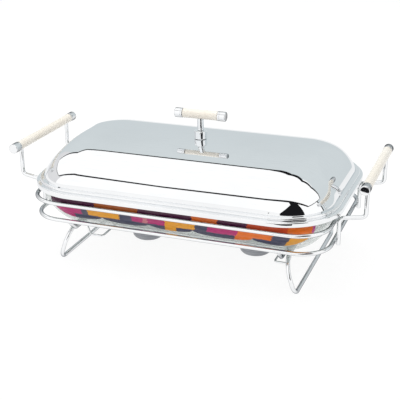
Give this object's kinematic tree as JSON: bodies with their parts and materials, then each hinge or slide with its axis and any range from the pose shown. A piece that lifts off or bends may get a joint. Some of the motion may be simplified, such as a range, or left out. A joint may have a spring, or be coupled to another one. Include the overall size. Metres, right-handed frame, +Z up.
{
  "type": "chafing dish food warmer",
  "caption": "Rectangular table-top food warmer: chromed wire stand with ivory grips, glass dish, domed lid with a T handle, and a rack of tealight cups under the dish.",
  "frame": {"origin": "on the table, under the middle of the stand", "axes": "+X along the length towards the right-hand carrying grip, +Y to the back, +Z up"},
  "size_m": [0.465, 0.256, 0.1876],
  "materials": {
    "stand_wire": "bright chrome plate on 5 mm steel wire",
    "rack_wire": "bright chrome plate on 2.5 mm steel wire",
    "handle_chrome": "bright chrome plate on turned brass caps, collar and stem",
    "lid_sheet": "mirror-polished chrome-plated steel sheet",
    "ivory_sleeve": "smooth ivory moulded sleeve with a soft gloss and a faint bone-like grain",
    "dish_glass": "clear heat-proof glass, its outer wall printed with a plain colour-block border in magenta, maroon, orange, yellow and slate",
    "cup_steel": "brushed steel with turning marks, darkened underneath",
    "candle_foil": "thin drawn aluminium",
    "candle_wax": "white paraffin wax, slightly translucent",
    "candle_wick": "waxed cotton wick",
    "fastener_steel": "zinc-plated screw and washer"
  },
  "bodies": {
    "stand": {"top_rail": "stand_wire", "lower_rail": "stand_wire", "leg_wire_left": "stand_wire", "cradle_wire_left": "stand_wire", "rack_end_wire_left": "rack_wire", "grip_sleeve_left": "ivory_sleeve", "grip_rod_left": "handle_chrome", "handle_post_left_front": "stand_wire", "handle_post_left_back": "stand_wire", "grip_cap_left_front": "handle_chrome", "grip_cap_left_back": "handle_chrome", "leg_wire_right": "stand_wire", "cradle_wire_right": "stand_wire", "rack_end_wire_right": "rack_wire", "grip_sleeve_right": "ivory_sleeve", "grip_rod_right": "handle_chrome", "handle_post_right_front": "stand_wire", "handle_post_right_back": "stand_wire", "grip_cap_right_front": "handle_chrome", "grip_cap_right_back": "handle_chrome", "rack_long_wire_front": "rack_wire", "rack_long_wire_back": "rack_wire"},
    "left_cup": {"left_candle_cup": "cup_steel"},
    "left_candle": {"left_candle_shell": "candle_foil", "left_candle_wax": "candle_wax", "left_candle_wick": "candle_wick"},
    "right_cup": {"right_candle_cup": "cup_steel"},
    "right_candle": {"right_candle_shell": "candle_foil", "right_candle_wax": "candle_wax", "right_candle_wick": "candle_wick"},
    "dish": {"glass_dish": "dish_glass"},
    "lid": {"lid_shell": "lid_sheet", "lid_collar": "handle_chrome", "lid_stem": "handle_chrome", "lid_grip_sleeve": "ivory_sleeve", "lid_grip_rod": "handle_chrome", "lid_grip_cap_left": "handle_chrome", "lid_grip_cap_right": "handle_chrome", "lid_washer": "fastener_steel", "lid_screw": "fastener_steel"}
  },
  "joints": [
    {"name": "left_cup_lift", "type": "slide", "parent": "stand", "child": "left_cup", "axis": [0, 0, 1], "range_m": [0, 0.0217]},
    {"name": "left_candle_lift", "type": "slide", "parent": "left_cup", "child": "left_candle", "axis": [0, 0, 1], "range_m": [0, 0.0218]},
    {"name": "right_cup_lift", "type": "slide", "parent": "stand", "child": "right_cup", "axis": [0, 0, 1], "range_m": [0, 0.0217]},
    {"name": "right_candle_lift", "type": "slide", "parent": "right_cup", "child": "right_candle", "axis": [0, 0, 1], "range_m": [0, 0.0218]},
    {"name": "dish_lift", "type": "slide", "parent": "stand", "child": "dish", "axis": [0, 0, 1], "range_m": [0, 0.1]},
    {"name": "lid_lift", "type": "slide", "parent": "dish", "child": "lid", "axis": [0, 0, 1], "range_m": [0, 0.1]}
  ]
}
